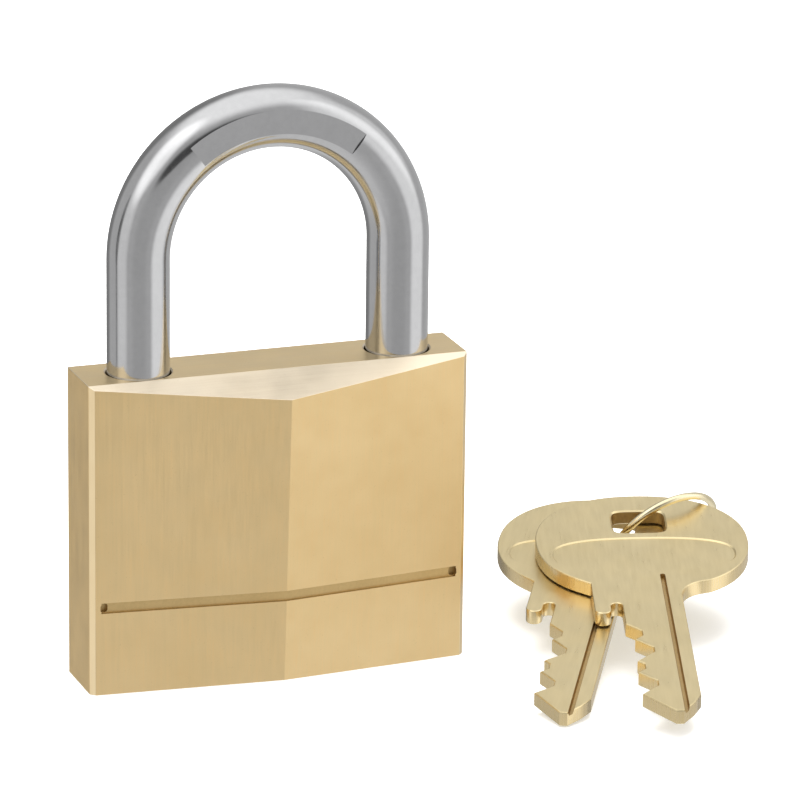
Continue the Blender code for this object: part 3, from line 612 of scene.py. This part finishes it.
def groove_cutters():
    """The groove across the front, and the deeper pit at each of its ends."""
    middle = half_thickness(0.0, GROOVE_LEVEL)
    end = half_thickness(GROOVE_HALF_LENGTH, GROOVE_LEVEL)
    outline = [
        (-GROOVE_HALF_LENGTH, -end - CUT_PAST),
        (0.0, -middle - CUT_PAST),
        (GROOVE_HALF_LENGTH, -end - CUT_PAST),
        (GROOVE_HALF_LENGTH, -end + GROOVE_DEPTH),
        (0.0, -middle + GROOVE_DEPTH),
        (-GROOVE_HALF_LENGTH, -end + GROOVE_DEPTH),
    ]
    half = GROOVE_HEIGHT / 2.0
    cutters = [extruded(outline, GROOVE_LEVEL - half, GROOVE_LEVEL + half)]
    pit_half = GROOVE_PIT_HEIGHT / 2.0
    for side in (-1.0, 1.0):
        outer = side * (GROOVE_HALF_LENGTH + GROOVE_PIT_OVERRUN)
        inner = outer - side * GROOVE_PIT_LENGTH
        low = (min(outer, inner), -end - CUT_PAST, GROOVE_LEVEL - pit_half)
        high = (max(outer, inner), -end + GROOVE_PIT_DEPTH, GROOVE_LEVEL + pit_half)
        pit = box(low, high)
        inwards = [edge for edge in pit.edges if abs(edge.verts[0].co.y - edge.verts[1].co.y) > WELD]
        bmesh.ops.bevel(
            pit, geom=inwards, offset=GROOVE_PIT_ROUND, segments=4, profile=0.5, affect="EDGES"
        )
        cutters.append(pit)
    return cutters


def hole_cutters():
    """Every drilled hole in the body."""
    sideways = (1.0, 0.0, 0.0)
    side_face = BODY_WIDTH / 2.0
    backwards = (0.0, 1.0, 0.0)
    back_ridge = half_thickness(0.0, BODY_HEIGHT)
    cutters = [
        drill(PLUG_BORE_RADIUS, -PLUG_BORE_TOP, 0.0, PLUG_BORE_SIDES, -Z_AXIS, (0.0, 0.0, 0.0))
    ]
    for x, floor in ((-LEG_X, HEEL_BORE_FLOOR), (LEG_X, TOE_POCKET_FLOOR)):
        bore = drill(LEG_BORE_RADIUS, floor, BODY_HEIGHT, LEG_BORE_SIDES, Z_AXIS, (x, 0.0, 0.0))
        cutters.append(bore)
    plugged = [(BOLT_BORE_RADIUS, -LEG_X, BOLT_LEVEL)]
    plugged += [(CHAMBER_RADIUS, PLUG_BORE_RADIUS - CUT_PAST, level) for level in CHAMBER_LEVELS]
    for radius, start, level in plugged:
        profile = [(radius, start), (radius, side_face + CUT_PAST)]
        cutters.append(turned(profile, CHAMBER_SIDES, sideways, (0.0, 0.0, level)))
    for node, radius in CROSS_PIN_BORE_RADII.items():
        low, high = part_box(node)
        x = (low.x + high.x) / 2.0
        level = (low.z + high.z) / 2.0
        profile = [(radius, low.y - CROSS_PIN_END_GAP), (radius, back_ridge + CUT_PAST)]
        cutters.append(turned(profile, CROSS_PIN_BORE_SIDES, backwards, (x, 0.0, level)))
    return cutters


# this picks the faces that get the darker groove metal, painted shade
def is_in_groove(point):
    """Whether a point sunk in the body is in the front groove, short of the pits at its ends."""
    beside = abs(point.x) < GROOVE_HALF_LENGTH - GROOVE_PIT_LENGTH
    level = abs(point.z - GROOVE_LEVEL) < GROOVE_HEIGHT / 2.0 + WELD
    shallow = half_thickness(point.x, point.z) + point.y < GROOVE_DEPTH + GROOVE_DEPTH_MARGIN
    return beside and level and shallow


def body_slot(centre, normal):
    """Which metal a face of the body shows, from where it is and where it faces."""
    side = BODY_WIDTH / 2.0
    inside_chamfers = abs(centre.x) < side - CORNER_CHAMFER
    depth = half_thickness(centre.x, centre.z) - abs(centre.y)
    if normal.z > WALL_NORMAL_Z and centre.z > BODY_HEIGHT - TOP_REGION:
        # up-tilted faces near the top that are not level get the paler bevel metal, a painted highlight
        return "top" if normal.z > LEVEL_NORMAL_Z else "bevel"
    # sunk faces get the darker groove and recess metals: painted shade
    if depth > SUNK_LEAST and centre.z > BASE_SKIN and inside_chamfers:
        return "groove" if is_in_groove(centre) else "recess"
    # the corner chamfers get the paler edge metal, a painted highlight
    if side - CORNER_CHAMFER < abs(centre.x) < side - SIDE_SKIN:
        return "edge"
    return "face"


def paint_body(piece, metals):
    """Give each face of the body its metal."""
    # edge and bevel are paler brass copies that paint highlights; groove and recess are darker copies
    # that paint shade
    slots = ["face", "edge", "top", "bevel", "groove", "recess"]
    for slot in slots:
        piece.data.materials.append(metals[slot])
    for face in piece.data.polygons:
        face.material_index = slots.index(body_slot(face.center, face.normal))


def make_body(metals):
    """The drilled body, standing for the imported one."""
    body = add_object("brass_body", body_blank())
    cut(body, hole_cutters() + groove_cutters())
    paint_body(body, metals)
    smooth(body)
    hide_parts("lock_body")
    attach(body, "lock")


# --- shackle ----------------------------------------------------------------


def shackle_stations():
    """(radius, centre, turn) along the rod, from the heel's foot over the arch to the toe."""
    heel = [
        (HEEL_FOOT_RADIUS - LEG_END_CHAMFER, HEEL_FOOT_BOTTOM),
        (HEEL_FOOT_RADIUS, HEEL_FOOT_BOTTOM + LEG_END_CHAMFER),
        (HEEL_FOOT_RADIUS, HEEL_FOOT_TOP - HEEL_FOOT_CHAMFER),
        (HEEL_FOOT_RADIUS - HEEL_FOOT_CHAMFER, HEEL_FOOT_TOP),
        (NOTCH_RADIUS, HEEL_FOOT_TOP),
        (NOTCH_RADIUS, HEEL_LAND_BOTTOM),
        (LEG_RADIUS - NOTCH_CHAMFER, HEEL_LAND_BOTTOM),
        (LEG_RADIUS, HEEL_LAND_BOTTOM + NOTCH_CHAMFER),
        (LEG_RADIUS, NOTCH_BOTTOM - NOTCH_CHAMFER),
        (LEG_RADIUS - NOTCH_CHAMFER, NOTCH_BOTTOM),
        (NOTCH_RADIUS, NOTCH_BOTTOM),
        (NOTCH_RADIUS, NOTCH_TOP),
        (LEG_RADIUS - NOTCH_CHAMFER, NOTCH_TOP),
        (LEG_RADIUS, NOTCH_TOP + NOTCH_CHAMFER),
        (LEG_RADIUS, BODY_HEIGHT),
    ]
    stations = [(radius, Vector((-LEG_X, 0.0, z)), 0.0) for radius, z in heel]
    arch_steps = 96
    for step in range(arch_steps + 1):
        turn = math.pi * step / arch_steps
        place = Vector((-LEG_X * math.cos(turn), 0.0, ARCH_LEVEL + LEG_X * math.sin(turn)))
        stations.append((LEG_RADIUS, place, turn))
    for radius, z in (
        (LEG_RADIUS, BODY_HEIGHT),
        (LEG_RADIUS, TOE_TIP + LEG_END_CHAMFER),
        (LEG_RADIUS - LEG_END_CHAMFER, TOE_TIP),
    ):
        stations.append((radius, Vector((LEG_X, 0.0, z)), math.pi))
    return stations


def arch_flat():
    """The slab that leaves a shallow flat along the front of the arch."""
    first = 90.0 - ARCH_FLAT_HALF_ANGLE
    last = 90.0 + ARCH_FLAT_HALF_ANGLE
    outer = arc((0.0, 0.0), LEG_X + ARCH_FLAT_REACH, first, last, 48)
    inner = arc((0.0, 0.0), LEG_X - ARCH_FLAT_REACH, last, first, 48)
    bm = extruded(outer + inner, LEG_RADIUS - ARCH_FLAT_DEPTH, LEG_RADIUS + CUT_PAST)
    placing = Matrix.Translation((0.0, 0.0, ARCH_LEVEL)) @ Matrix.Rotation(math.pi / 2.0, 4, "X")
    bmesh.ops.transform(bm, matrix=placing, verts=bm.verts)
    return bm


def make_shackle(metals):
    """The plated rod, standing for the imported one."""
    sides = 72
    rings = []
    for radius, place, turn in shackle_stations():
        outward = Vector((-math.cos(turn), 0.0, math.sin(turn)))
        ring = []
        for side in range(sides):
            angle = math.tau * side / sides
            offset = outward * math.cos(angle) + Vector((0.0, math.sin(angle), 0.0))
            ring.append(place + offset * radius)
        rings.append(ring)
    shackle = add_object("plated_shackle", bridged(rings))
    floor_x = LEG_X - NOTCH_RADIUS
    reach = LEG_RADIUS + CUT_PAST
    notch = box((floor_x - reach, -reach, NOTCH_BOTTOM), (floor_x, reach, NOTCH_TOP))
    cut(shackle, [notch, arch_flat()])
    shackle.data.materials.append(metals["chrome"])
    shackle.data.shade_smooth()
    shackle.data.set_sharp_from_angle(angle=math.radians(SHACKLE_SHARP_DEGREES))
    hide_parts("shackle")
    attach(shackle, "shackle")


# --- keys and ring ----------------------------------------------------------


def oval(half_width, half_height, centre, power, first, last, count):
    """Points of a squarish oval between two angles, both included."""
    points = []
    for step in range(count + 1):
        angle = math.radians(first + (last - first) * step / count)
        across = math.copysign(abs(math.cos(angle)) ** (2.0 / power), math.cos(angle))
        along = math.copysign(abs(math.sin(angle)) ** (2.0 / power), math.sin(angle))
        points.append((half_width * across, centre + half_height * along))
    return points


def closed_oval(half_width, half_height, centre, power, count):
    """Evenly turned points all around a squarish oval, each of them once."""
    last = 360.0 * (count - 1) / count
    return oval(half_width, half_height, centre, power, 0.0, last, count - 1)


def arc(centre, radius, first, last, count):
    """Points of a circle's arc between two angles in degrees, both included."""
    points = []
    for step in range(count + 1):
        angle = math.radians(first + (last - first) * step / count)
        points.append((centre[0] + radius * math.cos(angle), centre[1] + radius * math.sin(angle)))
    return points


def bitting():
    """The cut edge of the blade, from the shoulder to the tip, as (x, y) points."""
    edge = -BLADE_WIDTH / 2.0
    cuts = [
        (SHOULDER - (level - PLUG_BOTTOM), depth)
        for level, depth in zip(CHAMBER_LEVELS, CUT_DEPTHS)
    ]
    first_along, first_depth = cuts[0]
    points = [(edge, first_along + CUT_FLAT + first_depth)]
    for index, (along, depth) in enumerate(cuts):
        points.append((edge + depth, along + CUT_FLAT))
        points.append((edge + depth, along - CUT_FLAT))
        if index + 1 < len(cuts):
            next_along, next_depth = cuts[index + 1]
            gap = (along - CUT_FLAT) - (next_along + CUT_FLAT)
            peak = (depth + next_depth - gap) / 2.0
            points.append((edge + peak, along - CUT_FLAT - (depth - peak)))
    last_along, last_depth = cuts[-1]
    rise = last_depth - LAST_CUT_SETBACK
    points.append((edge + last_depth - rise, last_along - CUT_FLAT - rise))
    return points


def key_outline():
    """The key's outline, from the tip up the plain edge, around the bow and down the cut edge."""
    edge = BLADE_WIDTH / 2.0
    tip = [
        (TIP_SHIFT - TIP_HALF_WIDTH, 0.0),
        (TIP_SHIFT + TIP_HALF_WIDTH, 0.0),
        (edge - TIP_SHIFT, TIP_SLOPE_END),
        (edge, TIP_ROUND_END),
    ]
    neck = arc((edge + NECK_RADIUS, NECK_START), NECK_RADIUS, 180.0, NECK_LAST_ANGLE, 14)
    bow = oval(
        BOW_HALF_WIDTH, BOW_HALF_HEIGHT, BOW_CENTRE, BOW_POWER, BOW_FIRST_ANGLE, BOW_LAST_ANGLE, 110
    )
    hook_x = -edge - HOOK_REACH
    hook = arc((hook_x + HOOK_RADIUS, SHOULDER + HOOK_RADIUS), HOOK_RADIUS, 180.0, 360.0, 14)
    notch_radius = HOOK_REACH / 2.0 - HOOK_RADIUS
    notch_level = SHOULDER + HOOK_NOTCH_TOP - notch_radius
    notch = arc((-edge - notch_radius, notch_level), notch_radius, 180.0, 0.0, 12)
    return tip + neck + bow + [(hook_x, HOOK_TOP)] + hook + notch + bitting()


def lofted_cutter(outlines, top, outward):
    """A cutter through (outline, height above a face) pairs; outward is +1 on top, -1 below."""
    return bridged([[(x, y, top + outward * height) for x, y in rim] for rim, height in outlines])


def sunk_panel(top, outward):
    """A cutter for the bow's sunk panel, with sloping walls."""
    outlines = []
    for growth, height in ((0.0, -PANEL_DEPTH), (PANEL_WALL_GROWTH, PANEL_WALL_ABOVE)):
        half_width = PANEL_HALF_WIDTH + growth
        half_height = PANEL_HALF_HEIGHT + growth
        rim = closed_oval(half_width, half_height, PANEL_CENTRE, PANEL_POWER, 72)
        outlines.append((rim, height))
    return lofted_cutter(outlines, top, outward)


def ward_groove():
    """A cutter for the milled groove along the blade, with sloping walls."""
    outlines = []
    levels = (
        (WARD_GROOVE_FLOOR_GROWTH, -WARD_GROOVE_DEPTH),
        (WARD_GROOVE_MOUTH_GROWTH, CUT_PAST),
    )
    for growth, height in levels:
        reach = WARD_GROOVE_WIDTH / 2.0 + growth
        low = WARD_GROOVE_CENTRE - reach
        high = WARD_GROOVE_CENTRE + reach
        end = arc((WARD_GROOVE_CENTRE, WARD_GROOVE_END - reach), reach, 0.0, 180.0, 12)
        outlines.append(([(low, -CUT_PAST), (high, -CUT_PAST), *end], height))
    return lofted_cutter(outlines, KEY_THICKNESS, 1.0)


def ring_hole():
    """A cutter for the hole in the bow, with both rims chamfered."""
    outlines = []
    levels = (
        (HOLE_CHAMFER + CUT_PAST, -KEY_THICKNESS - CUT_PAST),
        (0.0, HOLE_CHAMFER - KEY_THICKNESS),
        (0.0, -HOLE_CHAMFER),
        (HOLE_CHAMFER + CUT_PAST, CUT_PAST),
    )
    for growth, height in levels:
        half_width = HOLE_WIDTH / 2.0 + growth
        half_height = HOLE_HEIGHT / 2.0 + growth
        rim = closed_oval(half_width, half_height, HOLE_CENTRE, HOLE_POWER, 60)
        outlines.append((rim, height))
    return lofted_cutter(outlines, KEY_THICKNESS, 1.0)


def stack_plane():
    """The plane that both keys lie in: X across, Y from the tips to the bows."""
    return (
        Matrix.Translation(STACK_ORIGIN)
        @ Matrix.Rotation(STACK_HEADING - math.pi / 2.0, 4, "Z")
        @ Matrix.Rotation(STACK_TILT, 4, "X")
    )


def is_in_hole(point):
    """Whether a point of a key is on the wall of its ring hole."""
    across = abs(point.x) / (HOLE_WIDTH / 2.0 + WELD)
    along = abs(point.y - HOLE_CENTRE) / (HOLE_HEIGHT / 2.0 + WELD)
    return across**HOLE_POWER + along**HOLE_POWER < 1.0


def is_in_ward_groove(point):
    """Whether a point of a key is in the milled groove along its blade."""
    beside = abs(point.x - WARD_GROOVE_CENTRE) < WARD_GROOVE_WIDTH / 2.0
    sunk = KEY_THICKNESS - WARD_GROOVE_DEPTH - WELD < point.z < KEY_THICKNESS - WELD
    return beside and sunk and point.y < WARD_GROOVE_END


def is_level(edge):
    """Whether both ends of an edge are at the same height."""
    return abs(edge.verts[0].co.z - edge.verts[1].co.z) < WELD


def make_key(name, node, metals):
    """One key in its place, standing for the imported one."""
    place, turn = KEY_PLACES[node]
    bm = extruded(key_outline(), 0.0, KEY_THICKNESS)
    bmesh.ops.recalc_face_normals(bm, faces=bm.faces)
    round_edges(bm, KEY_EDGE_ROUND, segments=3, least_degrees=60.0, chosen=is_level)
    key = add_object(name, bm)
    cut(key, [ring_hole(), sunk_panel(KEY_THICKNESS, 1.0), sunk_panel(0.0, -1.0), ward_groove()])
    slots = ["key", "key_cut", "recess"]
    for slot in slots:
        key.data.materials.append(metals[slot])
    for face in key.data.polygons:
        # the ring hole walls and the blade's groove get the darker recess metal: painted shade
        if is_in_hole(face.center) or is_in_ward_groove(face.center):
            face.material_index = slots.index("recess")
        elif abs(face.normal.z) < WALL_NORMAL_Z:
            face.material_index = slots.index("key_cut")
    key.matrix_world = stack_plane() @ Matrix.Translation(place) @ Matrix.Rotation(turn, 4, "Z")
    smooth(key)
    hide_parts(node)
    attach(key, node)


def make_key_ring(metals):
    """The wire ring through both bows, with rounded ends that nearly meet."""
    along = Vector((math.cos(RING_HEADING), math.sin(RING_HEADING), 0.0))
    upright = Matrix.Rotation(RING_LEAN, 3, along) @ Z_AXIS
    sideways = along.cross(upright)
    sunk = math.sqrt(RING_RADIUS**2 - (RING_CHORD / 2.0) ** 2)
    centre = Vector((*RING_THREAD, STACK_TOP)) + along * RING_CHORD / 2.0 - upright * sunk
    steps = 180
    sides = 24
    rings = []
    for step in range(steps + 1):
        angle = RING_START + RING_SWEEP * step / steps
        outward = along * math.cos(angle) + upright * math.sin(angle)
        left = min(step, steps - step) * RING_SWEEP / steps * RING_RADIUS
        swell = math.sqrt(min(1.0, 2.0 * left / RING_WIRE))
        taper = RING_END_SIZE + (1.0 - RING_END_SIZE) * swell
        ring = []
        for side in range(sides):
            turn = math.tau * side / sides
            offset = outward * math.cos(turn) + sideways * math.sin(turn)
            point = centre + outward * RING_RADIUS + offset * RING_WIRE * taper
            ring.append(stack_plane() @ point)
        rings.append(ring)
    wire = add_object("wire_key_ring", bridged(rings))
    wire.data.materials.append(metals["ring"])
    wire.data.shade_smooth()
    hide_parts("key_ring")
    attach(wire, "ring")


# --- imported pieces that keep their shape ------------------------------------


def dress_packed_pieces(metals):
    """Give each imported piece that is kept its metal."""
    by_slot = {
        "body_brass": "face",
        "plug_brass": "turned_brass",
        "pin_steel": "steel",
        "spring_steel": "spring",
    }
    for entry in frame["record"]["subparts"]:
        metal_name = by_slot.get(entry["material_slot"])
        if metal_name is None or entry["node"] == "lock_body":
            continue
        node = frame["nodes"][entry["node"]]
        node.data.materials.clear()
        node.data.materials.append(metals[metal_name])


# --- floor, light and camera ------------------------------------------------


def make_floor():
    """A plain pale floor, lit from below like a photographer's light table.

    Metals don't mirror it: they mirror the lower half of the room instead.
    """
    half = FLOOR_SIZE / 2.0
    bm = bmesh.new()
    corners = [(-half, -half), (half, -half), (half, half), (-half, half)]
    bm.faces.new([bm.verts.new((x, y, 0.0)) for x, y in corners])
    floor = add_object("floor", bm)
    nodes = Nodes("floor_paper")
    nodes.shader.inputs["Base Color"].default_value = (FLOOR_GREY, FLOOR_GREY, FLOOR_GREY, 1.0)
    nodes.shader.inputs["Roughness"].default_value = FLOOR_ROUGHNESS
    nodes.shader.inputs["Specular IOR Level"].default_value = 0.0
    nodes.shader.inputs["Emission Color"].default_value = (1.0, 1.0, 1.0, 1.0)
    nodes.shader.inputs["Emission Strength"].default_value = FLOOR_GLOW
    floor.data.materials.append(nodes.material)
    floor.visible_glossy = False


def add_softbox():
    """A square softbox overhead; the room's own cards are what metals mirror."""
    data = bpy.data.lights.new("overhead", "AREA")
    data.shape = "SQUARE"
    data.size = SOFTBOX_SIZE
    data.energy = SOFTBOX_POWER
    light = bpy.data.objects.new("overhead", data)
    light.location = SOFTBOX_PLACE
    aim = Vector(SOFTBOX_TARGET) - Vector(SOFTBOX_PLACE)
    light.rotation_euler = aim.to_track_quat("-Z", "Y").to_euler()
    light.visible_glossy = False
    bpy.context.scene.collection.objects.link(light)


def heading_vector(azimuth, elevation):
    """A direction: azimuth from the front (-Y) towards +X, and elevation above the floor."""
    turn = math.radians(azimuth)
    rise = math.radians(elevation)
    flat = math.cos(rise)
    return (math.sin(turn) * flat, -math.cos(turn) * flat, math.sin(rise))


class Room:
    """The studio around the lock: a grey room with soft cards, as a function of direction."""

    def __init__(self, grey):
        self.world = bpy.data.worlds.new("studio")
        self.world.use_nodes = True
        self.tree = self.world.node_tree
        place = self.tree.nodes.new("ShaderNodeTexCoord").outputs["Generated"]
        self.direction = self.vector_maths("NORMALIZE", place)
        self.level = None
        self.grey = grey

    def vector_maths(self, operation, source, other=None):
        """Vector arithmetic; gives a vector, or a number for a dot product."""
        node = self.tree.nodes.new("ShaderNodeVectorMath")
        node.operation = operation
        self.tree.links.new(source, node.inputs[0])
        if other is not None:
            node.inputs[1].default_value = other
        return node.outputs["Value" if operation == "DOT_PRODUCT" else "Vector"]

    def maths(self, operation, first, second):
        """Arithmetic on an output and an output or a number."""
        node = self.tree.nodes.new("ShaderNodeMath")
        node.operation = operation
        self.tree.links.new(first, node.inputs[0])
        if isinstance(second, float):
            node.inputs[1].default_value = second
        else:
            self.tree.links.new(second, node.inputs[1])
        return node.outputs["Value"]

    def ramp(self, source, start, end):
        """A smooth rise from 0 to 1 between two values."""
        node = self.tree.nodes.new("ShaderNodeMapRange")
        node.interpolation_type = "SMOOTHSTEP"
        node.inputs["From Min"].default_value = start
        node.inputs["From Max"].default_value = end
        self.tree.links.new(source, node.inputs["Value"])
        return node.outputs["Result"]

    def card(self, azimuth, elevation, inner, outer, change, stretch):
        """Add a card that is brighter than the room by change, or darker where change is negative.

        stretch squeezes directions along an axis first: a small Z makes the card tall.
        """
        shaped = self.vector_maths("MULTIPLY", self.direction, stretch)
        shaped = self.vector_maths("NORMALIZE", shaped)
        aim = Vector(heading_vector(azimuth, elevation)) * Vector(stretch)
        facing = self.vector_maths("DOT_PRODUCT", shaped, tuple(aim.normalized()))
        cover = self.ramp(facing, math.cos(math.radians(outer)), math.cos(math.radians(inner)))
        part = self.maths("MULTIPLY", cover, change)
        self.level = part if self.level is None else self.maths("ADD", self.level, part)

    def finish(self):
        """Join the cards to the background."""
        total = self.maths("ADD", self.level, self.grey)
        total = self.maths("MAXIMUM", total, ROOM_LEAST)
        background = self.tree.nodes["Background"]
        self.tree.links.new(total, background.inputs["Color"])
        background.inputs["Strength"].default_value = 1.0
        bpy.context.scene.world = self.world


def make_light():
    """Soft studio light: bright cards overhead and at both sides, a dimmer front, and a softbox."""
    room = Room(ROOM_GREY)
    for card in ROOM_CARDS.values():
        room.card(*card)
    room.finish()
    add_softbox()
    bpy.context.scene.view_settings.view_transform = "Standard"


def make_camera():
    """The camera, to the lock's left and above it, looking down at it."""
    back = Vector((
        math.sin(CAMERA_AZIMUTH) * math.cos(CAMERA_ELEVATION),
        -math.cos(CAMERA_AZIMUTH) * math.cos(CAMERA_ELEVATION),
        math.sin(CAMERA_ELEVATION),
    ))
    level_right = Vector((math.cos(CAMERA_AZIMUTH), math.sin(CAMERA_AZIMUTH), 0.0))
    level_up = back.cross(level_right)
    right = level_right * math.cos(CAMERA_ROLL) + level_up * math.sin(CAMERA_ROLL)
    up = level_up * math.cos(CAMERA_ROLL) - level_right * math.sin(CAMERA_ROLL)
    lock = Vector((0.0, 0.0, AIM_HEIGHT))
    place = lock + back * CAMERA_DISTANCE
    aim = lock + right * AIM_RIGHT + up * AIM_UP
    facing = (place - aim).normalized()
    side = up.cross(facing).normalized()
    turn = Matrix((side, facing.cross(side), facing)).transposed()
    data = bpy.data.cameras.new("camera")
    data.sensor_width = CAMERA_SENSOR
    data.lens = CAMERA_LENS
    data.clip_start = CAMERA_CLIP_START
    camera = bpy.data.objects.new("camera", data)
    camera.matrix_world = Matrix.Translation(place) @ turn.to_4x4()
    bpy.context.scene.collection.objects.link(camera)
    bpy.context.scene.camera = camera


metals = make_materials()
make_body(metals)
make_shackle(metals)
make_key("front_brass_key", "front_key", metals)
make_key("back_brass_key", "back_key", metals)
make_key_ring(metals)
dress_packed_pieces(metals)
make_floor()
make_light()
make_camera()
